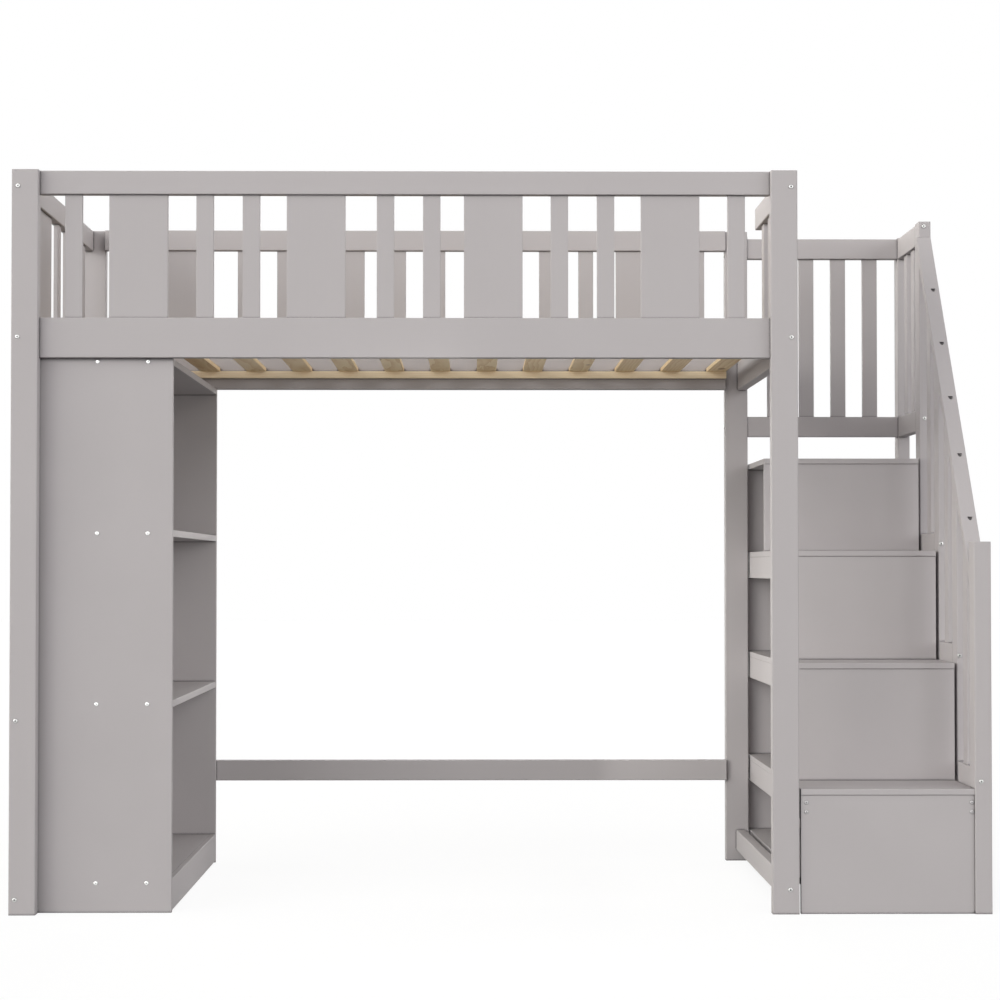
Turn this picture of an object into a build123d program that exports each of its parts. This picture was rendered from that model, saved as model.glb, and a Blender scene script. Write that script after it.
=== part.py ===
"""Loft bed of painted timber, with a bookcase under one end and storage stairs at the other.

Millimetres. The origin is on the floor below the middle of the whole bed. +X runs from the bookcase to
the stairs, +Y from the front to the back, and +Z is up.
"""

import os
from math import cos, radians, sin, tan

from build123d import *

# Bed frame
bed_length = 2000.0
bed_depth = 1035.0
post_height = 1891.0
post_width = 67.5
post_depth = 33.0
rail_thickness = 28.0
small_rail_height = 60.0
side_rail_height = 102.0
side_rail_bottom = 1413.0
long_rail_setback = 20.0
end_rail_setback = 2.0
timber_ease = 1.5
board_ease = 0.8

# Heights of the middles of the low rails, and how far the low rail by the stairs stands in
left_bottom_rail_middle = 39.0
left_middle_rail_middle = 490.0
right_bottom_rail_middle = 62.0
right_bottom_rail_inset = 9.0
stretcher_middle = 272.0

# Guard infill: narrow slats and wide panels, tenoned into the rails above and below
narrow_width = 44.5
wide_width = 150.0
slat_thickness = 12.0
guard_bays = 4
guard_end_gap = 63.0
guard_slat_gap = 70.2
middle_pair_shift = 8.0
panel_shift = -2.0
short_guard_length = 559.5
tenon_length = 12.0
tenon_clearance = 0.2

# Mattress base
ledger_thickness = 20.0
ledger_height = 20.5
ledger_rise = 32.5
base_slat_count = 14
base_slat_width = 57.5
base_slat_thickness = 12.0
base_slat_margin = 51.5
base_slat_pitch = 137.9
base_slat_clearance = 1.0

# Bookcase
bookcase_width = 375.8
bookcase_setback = 40.0
case_panel_thickness = 15.0
case_shelf_thickness = 17.5
case_back_thickness = 6.0
bottom_shelf_top = 84.0
lower_shelf_top = 538.5
upper_shelf_top = 974.0
plinth_bottom = 4.0
plinth_top = 84.5

# Stairs, standing a little clear of the bed's posts and reaching a little further back
stair_gap = 5.0
stair_width = 441.5
stair_overhang = 25.0
first_riser_setback = 6.0
stair_run = 222.5
tread_tops = (316.0, 625.5, 924.5, 1189.5)
tread_thickness = 15.0
tread_nosing = 3.0
riser_thickness = 15.0
stair_panel_thickness = 15.0
apron_height = 62.5
apron_thickness = 18.0
stair_bottom_top = 90.0
stair_bottom_thickness = 18.0

# Balustrade
newel_width = 43.0
newel_depth = 57.0
newel_height = 944.0
stair_post_width = 34.0
stair_post_depth = 55.0
landing_post_height = 1873.5
landing_rail_drop = 3.5
landing_lower_rail_bottom = 1272.5
landing_slat_pitch = 95.8
landing_slat_count = 4
step_rail_drop = 11.0
first_baluster = 156.0
baluster_pitch = 108.3
baluster_thickness = 20.0
baluster_inset = 3.0
handrail_angle = 56.4
handrail_foot = 863.5
handrail_thickness = 22.0
handrail_width = 41.0

# Frame bolts, sunk flush in the posts, and the screws sunk in the handrail
fastener_sides = 10
bolt_diameter = 6.0
bolt_head_diameter = 10.0
bolt_head_height = 5.0
bolt_head_sink = 0.4
bolt_length = 95.0
bolt_clearance = 0.4
bolt_shift = 12.0
long_bolt_setback = 25.5
step_bolt_inset = 7.0
landing_top_bolt_rise = 20.0
landing_lower_bolt_rise = 4.0
side_rail_bolt_spread = 30.0
screw_diameter = 4.0
screw_head_diameter = 12.0
screw_head_height = 3.0
screw_head_sink = 13.0
screw_length = 50.0
screw_clearance = 0.3
screw_shifts = (-1.0, 5.0, 4.0, 1.5, 1.0)

# Outer faces of the bed and of the stairs
overall_length = bed_length + stair_gap + stair_width + newel_width
bed_left = -overall_length / 2
bed_right = bed_left + bed_length
overall_depth = bed_depth + stair_overhang
bed_front = -overall_depth / 2
bed_back = bed_front + bed_depth
stair_left = bed_right + stair_gap
stair_right = stair_left + stair_width
stair_back = bed_back + stair_overhang

ALONG_X, ALONG_Y, ALONG_Z = range(3)
DIRECTIONS = ((1, 0, 0), (0, 1, 0), (0, 0, 1))


def board(corner, opposite, grain, ease=timber_ease):
    """Returns a planed board between two opposite corners, with its four long arrises eased."""
    low = [min(pair) for pair in zip(corner, opposite)]
    size = [abs(b - a) for a, b in zip(corner, opposite)]
    across, up = (grain + 1) % 3, (grain + 2) % 3
    end = Plane(origin=low, x_dir=DIRECTIONS[across], z_dir=DIRECTIONS[grain])
    with BuildPart() as blank:
        with BuildSketch(end) as section:
            Rectangle(size[across], size[up], align=(Align.MIN, Align.MIN))
            chamfer(section.vertices(), ease)
        extrude(amount=size[grain])
    return blank.part


def uprights(places, width, depth, bottom, top):
    """Returns slats of one section, standing at each place."""
    with BuildPart() as slats:
        with BuildSketch(Plane.XY.offset(bottom)) as sections:
            with Locations(*places):
                Rectangle(width, depth)
            chamfer(sections.vertices(), board_ease)
        extrude(amount=top - bottom)
    return slats


def cut_mortises(places, width, depth, mouth, direction):
    """Cuts the mortises for a row of slats into the rail that is being built."""
    with BuildSketch(Plane.XY.offset(mouth)) as mouths:
        with Locations(*places):
            Rectangle(width + 2 * tenon_clearance, depth + 2 * tenon_clearance)
    extrude(mouths.sketch, amount=direction * tenon_length, mode=Mode.SUBTRACT)


def bolt_place(x, y, z, outward):
    """Returns a plane on a post's face where a bolt goes in, facing out of the timber."""
    return Plane(origin=(x, y, z), z_dir=outward)


def bore(places, diameter, depth):
    """Bores the piece that is being built, inwards from each place."""
    with BuildSketch(*places) as mouths:
        RegularPolygon(diameter / 2, fastener_sides)
    extrude(mouths.sketch, amount=-depth, mode=Mode.SUBTRACT)


def bore_for_bolts(places):
    """Bores the piece that is being built for the bolts at these places."""
    head_depth = bolt_head_sink + bolt_head_height
    bore(places, bolt_head_diameter + 2 * bolt_clearance, head_depth)
    bore(places, bolt_diameter + 2 * bolt_clearance, head_depth + bolt_length + bolt_clearance)


def bore_for_screws(places):
    """Bores the piece that is being built for the handrail screws at these places."""
    head_depth = screw_head_sink + screw_head_height
    bore(places, screw_head_diameter + 2 * screw_clearance, head_depth)
    bore(places, screw_diameter + 2 * screw_clearance, head_depth + screw_length + screw_clearance)


def fasteners(places, sink, head_diameter, head_height, diameter, length):
    """Returns one fastener, a flat head on a plain shank, sunk at each place."""
    with BuildPart() as group:
        with BuildSketch(*[place.offset(-sink) for place in places]):
            RegularPolygon(head_diameter / 2, fastener_sides)
        extrude(amount=-head_height)
        with BuildSketch(*[place.offset(-sink - head_height) for place in places]):
            RegularPolygon(diameter / 2, fastener_sides)
        extrude(amount=-length)
    return group


def save(piece, name):
    """Labels a finished piece and writes its file."""
    piece.part.label = name
    export_step(piece.part, f"parts/{name}.step")


os.makedirs("parts", exist_ok=True)

# Rail lines and levels that the posts, rails and bolts share
front_rail_line = bed_front + long_rail_setback + rail_thickness / 2
back_rail_line = bed_back - long_rail_setback - rail_thickness / 2
landing_back_line = bed_back - rail_thickness / 2
left_end_line = bed_left + end_rail_setback + rail_thickness / 2
right_end_line = bed_right - end_rail_setback - rail_thickness / 2
right_bottom_line = bed_right - right_bottom_rail_inset - rail_thickness / 2
guard_rail_bottom = post_height - small_rail_height
guard_rail_middle = post_height - small_rail_height / 2
side_rail_top = side_rail_bottom + side_rail_height
side_rail_middle = side_rail_bottom + side_rail_height / 2
inner_left = bed_left + post_width
inner_right = bed_right - post_width
inner_front = bed_front + post_depth
inner_back = bed_back - post_depth

# Balustrade lines that its posts, rails and bolts share: the posts are flush with the lower newel on the
# outside, and the rails are flush with the posts on the inside
corner_post_right = stair_right + newel_width
corner_post_left = corner_post_right - stair_post_width
post_line = corner_post_right - stair_post_width / 2
side_rail_line = corner_post_left + rail_thickness / 2
step_bolt_line = corner_post_left + step_bolt_inset
baluster_line = [bed_front + first_baluster + i * baluster_pitch for i in range(5)]
baluster_middle = corner_post_left + baluster_inset + baluster_thickness / 2
baluster_places = [(baluster_middle, y) for y in baluster_line[0::2]]
middle_post_lines = baluster_line[1::2]
newel_back = bed_front + newel_depth
upper_newel_front = baluster_line[-1] + baluster_pitch
upper_newel_back = upper_newel_front + stair_post_depth
corner_post_front = stair_back - stair_post_depth
landing_top_rail_top = landing_post_height - landing_rail_drop
landing_top_rail_middle = landing_top_rail_top - small_rail_height / 2
landing_lower_rail_middle = landing_lower_rail_bottom + small_rail_height / 2
landing_rail_middles = (landing_top_rail_middle, landing_lower_rail_middle)
step_rail_middles = [top - step_rail_drop + small_rail_height / 2 for top in tread_tops[:3]]

# Bolts of the four bed posts: through the front and back faces into the end rails, and through the
# outer faces into the long rails, one above the other where they cross
post_bolts = {}
for side, y_sign, y_face in (("front", -1, bed_front), ("back", 1, bed_back)):
    long_bolt_line = y_face - y_sign * long_bolt_setback
    for end, x_sign in (("left", -1), ("right", 1)):
        x_face = bed_left if end == "left" else bed_right
        end_line = left_end_line if end == "left" else right_end_line
        end_bolts = [(end_line, side_rail_middle)]
        if end == "left":
            end_bolts.append((left_end_line, left_middle_rail_middle))
            end_bolts.append((left_end_line, left_bottom_rail_middle))
        else:
            end_bolts.append((right_bottom_line, right_bottom_rail_middle))
        if (side, end) != ("back", "right"):
            end_bolts.append((end_line, guard_rail_middle - bolt_shift))
        long_bolts = [guard_rail_middle + bolt_shift]
        long_bolts.append(side_rail_middle - side_rail_bolt_spread)
        long_bolts.append(side_rail_middle + side_rail_bolt_spread)
        if side == "back":
            long_bolts.append(stretcher_middle)
        post_bolts[side, end] = [bolt_place(x, y_face, z, (0, y_sign, 0)) for x, z in end_bolts]
        for z in long_bolts:
            post_bolts[side, end].append(bolt_place(x_face, long_bolt_line, z, (x_sign, 0, 0)))

# Bolts from the bed's back post into the landing's back rails, clear of the bed's own guard rail
landing_join_levels = (guard_rail_bottom - bolt_shift, landing_lower_rail_middle)
landing_join_bolts = [bolt_place(inner_right, landing_back_line, z, (-1, 0, 0)) for z in landing_join_levels]
post_bolts["back", "right"] += landing_join_bolts

# Bolts of the balustrade: each post into the rail behind it, and the corner post into both guards
lower_newel_bolts = [bolt_place(step_bolt_line, bed_front, step_rail_middles[0], (0, -1, 0))]
middle_post_bolts = []
for y, z in zip(middle_post_lines, step_rail_middles[1:]):
    middle_post_bolts.append(bolt_place(step_bolt_line, y - stair_post_depth / 2, z, (0, -1, 0)))
upper_newel_bolts = []
corner_side_bolts = []
corner_back_bolts = []
for z, rise in zip(landing_rail_middles, (landing_top_bolt_rise, landing_lower_bolt_rise)):
    upper_newel_bolts.append(bolt_place(side_rail_line, upper_newel_front, z + rise, (0, -1, 0)))
    corner_side_bolts.append(bolt_place(side_rail_line, stair_back, z + rise, (0, 1, 0)))
    corner_back_bolts.append(bolt_place(corner_post_right, landing_back_line, z - bolt_shift, (1, 0, 0)))

# Bed posts
for side, y_face, y_inner in (("front", bed_front, inner_front), ("back", bed_back, inner_back)):
    for end, x_face, x_inner in (("left", bed_left, inner_left), ("right", bed_right, inner_right)):
        with BuildPart() as post:
            add(board((x_face, y_face, 0), (x_inner, y_inner, post_height), ALONG_Z))
            bore_for_bolts(post_bolts[side, end])
        save(post, f"{side}_{end}_post")

# Infill of the long guards: a wide panel between two narrow slats in each bay, set a little to the left
bay_length = 2 * narrow_width + wide_width + 2 * guard_slat_gap
guard_pair_gap = (inner_right - inner_left - 2 * guard_end_gap - guard_bays * bay_length) / (guard_bays - 1)
bay_lefts = [inner_left + guard_end_gap + i * (bay_length + guard_pair_gap) for i in range(guard_bays)]
panel_lines = [left + bay_length / 2 + panel_shift for left in bay_lefts]
slat_lines = []
for left in bay_lefts:
    slat_lines.append(left + narrow_width / 2)
    slat_lines.append(left + bay_length - narrow_width / 2)
middle_of_row = len(slat_lines) // 2
slat_lines[middle_of_row - 1] += middle_pair_shift
slat_lines[middle_of_row] += middle_pair_shift
tenon_bottom = side_rail_top - tenon_length
tenon_top = guard_rail_bottom + tenon_length - tenon_clearance

# Long rails, guards, ledgers and the low stretcher at the back
for side, y_sign, rail_line in (("front", -1, front_rail_line), ("back", 1, back_rail_line)):
    y_outer = rail_line + y_sign * rail_thickness / 2
    y_inner = rail_line - y_sign * rail_thickness / 2
    rail_bolts = post_bolts[side, "left"] + post_bolts[side, "right"]
    panel_places = [(x, rail_line) for x in panel_lines]
    slat_places = [(x, rail_line) for x in slat_lines]

    with BuildPart() as side_rail:
        add(board((inner_left, y_outer, side_rail_bottom), (inner_right, y_inner, side_rail_top), ALONG_X))
        cut_mortises(panel_places, wide_width, slat_thickness, side_rail_top, -1)
        cut_mortises(slat_places, narrow_width, slat_thickness, side_rail_top, -1)
        bore_for_bolts(rail_bolts)
    save(side_rail, f"{side}_side_rail")

    with BuildPart() as guard_rail:
        add(board((inner_left, y_outer, guard_rail_bottom), (inner_right, y_inner, post_height), ALONG_X))
        cut_mortises(panel_places, wide_width, slat_thickness, guard_rail_bottom, 1)
        cut_mortises(slat_places, narrow_width, slat_thickness, guard_rail_bottom, 1)
        bore_for_bolts(rail_bolts)
    save(guard_rail, f"{side}_guard_rail")

    panels = uprights(panel_places, wide_width, slat_thickness, tenon_bottom, tenon_top)
    save(panels, f"{side}_guard_panels")
    slats = uprights(slat_places, narrow_width, slat_thickness, tenon_bottom, tenon_top)
    save(slats, f"{side}_guard_slats")

    ledger_bottom = side_rail_bottom + ledger_rise
    ledger_inner = y_inner - y_sign * ledger_thickness
    with BuildPart() as ledger:
        low = (inner_left, y_inner, ledger_bottom)
        add(board(low, (inner_right, ledger_inner, ledger_bottom + ledger_height), ALONG_X, board_ease))
    save(ledger, f"{side}_ledger")

with BuildPart() as back_stretcher:
    y_inner = back_rail_line - rail_thickness / 2
    y_outer = back_rail_line + rail_thickness / 2
    bottom = stretcher_middle - small_rail_height / 2
    add(board((inner_left, y_inner, bottom), (inner_right, y_outer, bottom + small_rail_height), ALONG_X))
    bore_for_bolts(post_bolts["back", "left"] + post_bolts["back", "right"])
save(back_stretcher, "back_stretcher")

# Slats of the mattress base, laid on the ledgers
base_bottom = side_rail_bottom + ledger_rise + ledger_height
base_front = front_rail_line + rail_thickness / 2 + base_slat_clearance
base_back = back_rail_line - rail_thickness / 2 - base_slat_clearance
base_left = left_end_line + rail_thickness / 2 + base_slat_margin
with BuildPart() as bed_slats:
    for i in range(base_slat_count):
        x = base_left + i * base_slat_pitch
        low = (x, base_front, base_bottom)
        high = (x + base_slat_width, base_back, base_bottom + base_slat_thickness)
        add(board(low, high, ALONG_Y, board_ease))
save(bed_slats, "bed_slats")


def end_rail(line, back, middle, height, bolts, rows=(), mouth=0.0, direction=1):
    """Returns a rail that runs back from a front post, with mortises for its rows of slats."""
    low = (line - rail_thickness / 2, inner_front, middle - height / 2)
    high = (line + rail_thickness / 2, back, middle + height / 2)
    with BuildPart() as rail:
        add(board(low, high, ALONG_Y))
        for places, width in rows:
            cut_mortises(places, slat_thickness, width, mouth, direction)
        bore_for_bolts(bolts)
    return rail


def spaced(front, back, widths):
    """Returns the middle lines of slats of these widths, with equal gaps between front and back."""
    gap = (back - front - sum(widths)) / (len(widths) + 1)
    lines = []
    edge = front
    for width in widths:
        lines.append(edge + gap + width / 2)
        edge += gap + width
    return lines


# Infill of the end guards: narrow slats and wide panels in turn, the short guard by the stairs with fewer
short_guard_back = inner_front + short_guard_length
end_widths = (narrow_width, wide_width, narrow_width, wide_width, narrow_width)
left_lines = spaced(inner_front, inner_back, end_widths)
right_lines = spaced(inner_front, short_guard_back, end_widths[:3])
left_slat_places = [(left_end_line, y) for y in left_lines[0::2]]
left_panel_places = [(left_end_line, y) for y in left_lines[1::2]]
right_slat_places = [(right_end_line, y) for y in right_lines[0::2]]
right_panel_places = [(right_end_line, right_lines[1])]
left_rows = ((left_slat_places, narrow_width), (left_panel_places, wide_width))
right_rows = ((right_slat_places, narrow_width), (right_panel_places, wide_width))
left_bolts = post_bolts["front", "left"] + post_bolts["back", "left"]
right_bolts = post_bolts["front", "right"] + post_bolts["back", "right"]

# Left end
left_end_rail = end_rail(
    left_end_line,
    inner_back,
    side_rail_middle,
    side_rail_height,
    left_bolts,
    left_rows,
    side_rail_top,
    -1,
)
save(left_end_rail, "left_end_rail")
left_guard_rail = end_rail(
    left_end_line, inner_back, guard_rail_middle, small_rail_height, left_bolts, left_rows, guard_rail_bottom
)
save(left_guard_rail, "left_guard_rail")
left_middle_rail = end_rail(
    left_end_line, inner_back, left_middle_rail_middle, small_rail_height, left_bolts
)
save(left_middle_rail, "left_middle_rail")
left_bottom_rail = end_rail(
    left_end_line, inner_back, left_bottom_rail_middle, small_rail_height, left_bolts
)
save(left_bottom_rail, "left_bottom_rail")
save(uprights(left_slat_places, slat_thickness, narrow_width, tenon_bottom, tenon_top), "left_guard_slats")
save(uprights(left_panel_places, slat_thickness, wide_width, tenon_bottom, tenon_top), "left_guard_panels")

# Right end, open to the stairs behind its short guard
right_end_rail = end_rail(
    right_end_line,
    inner_back,
    side_rail_middle,
    side_rail_height,
    right_bolts,
    right_rows,
    side_rail_top,
    -1,
)
save(right_end_rail, "right_end_rail")
right_guard_rail = end_rail(
    right_end_line,
    short_guard_back,
    guard_rail_middle,
    small_rail_height,
    right_bolts,
    right_rows,
    guard_rail_bottom,
)
save(right_guard_rail, "right_guard_rail")
right_bottom_rail = end_rail(
    right_bottom_line, inner_back, right_bottom_rail_middle, small_rail_height, right_bolts
)
save(right_bottom_rail, "right_bottom_rail")
save(uprights(right_slat_places, slat_thickness, narrow_width, tenon_bottom, tenon_top), "right_guard_slats")
save(uprights(right_panel_places, slat_thickness, wide_width, tenon_bottom, tenon_top), "right_guard_panel")

# Bookcase, against the left end rails and open towards the space under the bed
case_left = left_end_line + rail_thickness / 2
case_right = case_left + bookcase_width
case_front = bed_front + bookcase_setback
case_back = back_rail_line - rail_thickness / 2
case_inner_front = case_front + case_panel_thickness
case_inner_back = case_back - case_panel_thickness
case_inner_left = case_left + case_back_thickness
case_top = side_rail_bottom
case_panels = {
    "bookcase_front_panel": ((case_left, case_front, 0), (case_right, case_inner_front, case_top)),
    "bookcase_back_panel": ((case_left, case_inner_back, 0), (case_right, case_back, case_top)),
    "bookcase_side_board": ((case_left, case_inner_front, 0), (case_inner_left, case_inner_back, case_top)),
}
for name, (low, high) in case_panels.items():
    with BuildPart() as panel:
        add(board(low, high, ALONG_Z, board_ease))
    save(panel, name)

plinth_inner = case_right - case_panel_thickness
case_shelves = {
    "bookcase_top": (case_top, case_right),
    "bookcase_upper_shelf": (upper_shelf_top, case_right),
    "bookcase_lower_shelf": (lower_shelf_top, case_right),
    "bookcase_bottom_shelf": (bottom_shelf_top, plinth_inner),
}
for name, (top, right) in case_shelves.items():
    with BuildPart() as shelf:
        low = (case_inner_left, case_inner_front, top - case_shelf_thickness)
        add(board(low, (right, case_inner_back, top), ALONG_Y, board_ease))
    save(shelf, name)

with BuildPart() as bookcase_plinth:
    low = (plinth_inner, case_inner_front, plinth_bottom)
    add(board(low, (case_right, case_inner_back, plinth_top), ALONG_Y, board_ease))
save(bookcase_plinth, "bookcase_plinth")

# Stairs: each riser stands on the tread before it, and each tread runs on to the back as a shelf
stair_inner_back = stair_back - stair_panel_thickness
stair_inner_right = stair_right - stair_panel_thickness
riser_fronts = [bed_front + first_riser_setback + i * stair_run for i in range(len(tread_tops))]
riser_bottoms = (0.0,) + tread_tops[:-1]
for i, (front, bottom, top) in enumerate(zip(riser_fronts, riser_bottoms, tread_tops), start=1):
    with BuildPart() as riser:
        high = (stair_right, front + riser_thickness, top - tread_thickness)
        add(board((stair_left, front, bottom), high, ALONG_X, board_ease))
    save(riser, f"stair_riser_{i}")

    with BuildPart() as tread:
        low = (stair_left, front - tread_nosing, top - tread_thickness)
        add(board(low, (stair_right, stair_inner_back, top), ALONG_X, board_ease))
    save(tread, f"stair_tread_{i}")

with BuildPart() as stair_side_panels:
    for front, bottom, top in zip(riser_fronts, riser_bottoms, tread_tops):
        low = (stair_inner_right, front + riser_thickness, bottom)
        high = (stair_right, stair_inner_back, top - tread_thickness)
        add(board(low, high, ALONG_Y, board_ease))
save(stair_side_panels, "stair_side_panels")

with BuildPart() as stair_back_panel:
    low = (stair_left, stair_inner_back, 0)
    add(board(low, (stair_right, stair_back, tread_tops[-1]), ALONG_Z, board_ease))
save(stair_back_panel, "stair_back_panel")

with BuildPart() as stair_aprons:
    for front, top in list(zip(riser_fronts, tread_tops))[:-1]:
        low = (stair_left, front + riser_thickness, top - tread_thickness - apron_height)
        high = (stair_left + apron_thickness, stair_inner_back, top - tread_thickness)
        add(board(low, high, ALONG_Y, board_ease))
save(stair_aprons, "stair_aprons")

with BuildPart() as stair_bottom_board:
    low = (stair_left, riser_fronts[0] + riser_thickness, stair_bottom_top - stair_bottom_thickness)
    add(board(low, (stair_inner_right, stair_inner_back, stair_bottom_top), ALONG_Y, board_ease))
save(stair_bottom_board, "stair_bottom_board")

# Handrail: a sloping board between the lower and the upper newel, screwed down on what stands below it,
# each screw a little off the middle of its post or baluster
slope = radians(handrail_angle)
handrail_drop = handrail_thickness / cos(slope)
handrail_head = handrail_foot + (upper_newel_front - newel_back) * tan(slope)
handrail_underside = Plane(
    origin=(post_line, newel_back, handrail_foot - handrail_drop), z_dir=(0, -sin(slope), cos(slope))
)
screw_places = []
for middle, shift in zip(baluster_line, screw_shifts):
    y = middle + shift
    height = handrail_foot + (y - newel_back) * tan(slope)
    screw_places.append(bolt_place(post_line, y, height, (0, 0, 1)))

with BuildPart() as handrail:
    with BuildSketch(Plane.YZ.offset(corner_post_right - handrail_width)):
        with BuildLine():
            Polyline(
                (newel_back, handrail_foot),
                (upper_newel_front, handrail_head),
                (upper_newel_front, handrail_head - handrail_drop),
                (newel_back, handrail_foot - handrail_drop),
                close=True,
            )
        make_face()
    extrude(amount=handrail_width)
    chamfer(handrail.edges().filter_by(Axis((0, 0, 0), (0, cos(slope), sin(slope)))), timber_ease)
    bore_for_screws(screw_places)
save(handrail, "handrail")

# Posts of the balustrade
with BuildPart() as lower_newel:
    low = (stair_right, bed_front, 0)
    add(board(low, (stair_right + newel_width, newel_back, newel_height), ALONG_Z))
    bore_for_bolts(lower_newel_bolts)
save(lower_newel, "lower_newel")

with BuildPart() as upper_newel:
    low = (corner_post_left, upper_newel_front, 0)
    add(board(low, (corner_post_right, upper_newel_back, landing_post_height), ALONG_Z))
    bore_for_bolts(upper_newel_bolts)
save(upper_newel, "upper_newel")

with BuildPart() as landing_corner_post:
    low = (corner_post_left, corner_post_front, 0)
    add(board(low, (corner_post_right, stair_back, landing_post_height), ALONG_Z))
    bore_for_bolts(corner_side_bolts + corner_back_bolts)
save(landing_corner_post, "landing_corner_post")

with BuildPart() as stair_middle_posts:
    for y in middle_post_lines:
        low = (corner_post_left, y - stair_post_depth / 2, 0)
        add(board(low, (corner_post_right, y + stair_post_depth / 2, handrail_head), ALONG_Z))
    split(bisect_by=handrail_underside, keep=Keep.BOTTOM)
    bore_for_bolts(middle_post_bolts)
    bore_for_screws(screw_places[1::2])
save(stair_middle_posts, "stair_middle_posts")

# Low rails beside the steps, and the balusters that stand in them
step_rail_fronts = [newel_back] + [y + stair_post_depth / 2 for y in middle_post_lines]
step_rail_backs = [y - stair_post_depth / 2 for y in middle_post_lines] + [upper_newel_front]
with BuildPart() as stair_step_rails:
    for front, back, middle in zip(step_rail_fronts, step_rail_backs, step_rail_middles):
        low = (side_rail_line - rail_thickness / 2, front, middle - small_rail_height / 2)
        high = (side_rail_line + rail_thickness / 2, back, middle + small_rail_height / 2)
        add(board(low, high, ALONG_Y))
    for place, middle in zip(baluster_places, step_rail_middles):
        cut_mortises([place], baluster_thickness, narrow_width, middle + small_rail_height / 2, -1)
    bore_for_bolts(lower_newel_bolts + middle_post_bolts)
save(stair_step_rails, "stair_step_rails")

with BuildPart() as stair_balusters:
    for place, middle in zip(baluster_places, step_rail_middles):
        bottom = middle + small_rail_height / 2 - tenon_length
        add(uprights([place], baluster_thickness, narrow_width, bottom, handrail_head).part)
    split(bisect_by=handrail_underside, keep=Keep.BOTTOM)
    bore_for_screws(screw_places[0::2])
save(stair_balusters, "stair_balusters")

# Guards round the landing
landing_slat_bottom = landing_lower_rail_bottom + small_rail_height - tenon_length
landing_slat_top = landing_top_rail_top - small_rail_height + tenon_length - tenon_clearance
landing_middle = (bed_right + corner_post_left) / 2
first_landing_slat = landing_middle - landing_slat_pitch * (landing_slat_count - 1) / 2
back_slat_places = []
for i in range(landing_slat_count):
    back_slat_places.append((first_landing_slat + i * landing_slat_pitch, landing_back_line))
side_gap = (corner_post_front - upper_newel_back - 2 * narrow_width) / 3
side_slat_places = [
    (side_rail_line, upper_newel_back + side_gap + narrow_width / 2),
    (side_rail_line, corner_post_front - side_gap - narrow_width / 2),
]
lower_mouth = landing_lower_rail_bottom + small_rail_height
upper_mouth = landing_top_rail_top - small_rail_height

with BuildPart() as landing_back_rails:
    for middle in landing_rail_middles:
        low = (bed_right, landing_back_line - rail_thickness / 2, middle - small_rail_height / 2)
        high = (corner_post_left, landing_back_line + rail_thickness / 2, middle + small_rail_height / 2)
        add(board(low, high, ALONG_X))
    cut_mortises(back_slat_places, narrow_width, slat_thickness, lower_mouth, -1)
    cut_mortises(back_slat_places, narrow_width, slat_thickness, upper_mouth, 1)
    bore_for_bolts(landing_join_bolts + corner_back_bolts)
save(landing_back_rails, "landing_back_rails")

with BuildPart() as landing_side_rails:
    for middle in landing_rail_middles:
        low = (side_rail_line - rail_thickness / 2, upper_newel_back, middle - small_rail_height / 2)
        high = (side_rail_line + rail_thickness / 2, corner_post_front, middle + small_rail_height / 2)
        add(board(low, high, ALONG_Y))
    cut_mortises(side_slat_places, slat_thickness, narrow_width, lower_mouth, -1)
    cut_mortises(side_slat_places, slat_thickness, narrow_width, upper_mouth, 1)
    bore_for_bolts(upper_newel_bolts + corner_side_bolts)
save(landing_side_rails, "landing_side_rails")

save(
    uprights(back_slat_places, narrow_width, slat_thickness, landing_slat_bottom, landing_slat_top),
    "landing_back_slats",
)
save(
    uprights(side_slat_places, slat_thickness, narrow_width, landing_slat_bottom, landing_slat_top),
    "landing_side_slats",
)

# Fasteners
all_bolts = lower_newel_bolts + middle_post_bolts + upper_newel_bolts + corner_side_bolts + corner_back_bolts
for places in post_bolts.values():
    all_bolts += places
frame_bolts = fasteners(
    all_bolts, bolt_head_sink, bolt_head_diameter, bolt_head_height, bolt_diameter, bolt_length
)
save(frame_bolts, "frame_bolts")
handrail_screws = fasteners(
    screw_places, screw_head_sink, screw_head_diameter, screw_head_height, screw_diameter, screw_length
)
save(handrail_screws, "handrail_screws")
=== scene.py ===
"""Looks of a painted timber loft bed with a bookcase under one end and storage stairs at the other.

Metres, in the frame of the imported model: the origin is on the floor below the middle of the bed, +X runs
from the bookcase to the stairs, +Y from the front to the back, and +Z is up.
"""

import logging
from collections.abc import Callable, Iterable
from dataclasses import dataclass, replace
from enum import Enum
from math import pi, radians

import bmesh
import bpy
from mathutils import Matrix, Vector


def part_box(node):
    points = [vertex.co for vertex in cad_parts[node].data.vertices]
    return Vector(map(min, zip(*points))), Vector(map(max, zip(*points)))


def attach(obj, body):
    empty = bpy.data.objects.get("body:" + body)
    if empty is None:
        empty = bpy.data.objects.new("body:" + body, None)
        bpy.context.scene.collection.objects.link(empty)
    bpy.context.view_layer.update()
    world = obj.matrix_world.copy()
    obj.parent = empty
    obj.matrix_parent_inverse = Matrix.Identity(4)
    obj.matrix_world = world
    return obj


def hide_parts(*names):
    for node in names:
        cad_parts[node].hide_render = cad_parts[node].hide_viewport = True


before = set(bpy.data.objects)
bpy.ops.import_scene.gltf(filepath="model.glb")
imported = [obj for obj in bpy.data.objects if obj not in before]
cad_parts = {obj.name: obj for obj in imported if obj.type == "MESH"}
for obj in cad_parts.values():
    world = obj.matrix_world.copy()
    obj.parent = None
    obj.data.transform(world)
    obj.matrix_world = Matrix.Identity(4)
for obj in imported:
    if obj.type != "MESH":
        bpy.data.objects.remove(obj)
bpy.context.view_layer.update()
log = logging.getLogger("loft_bed")

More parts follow.
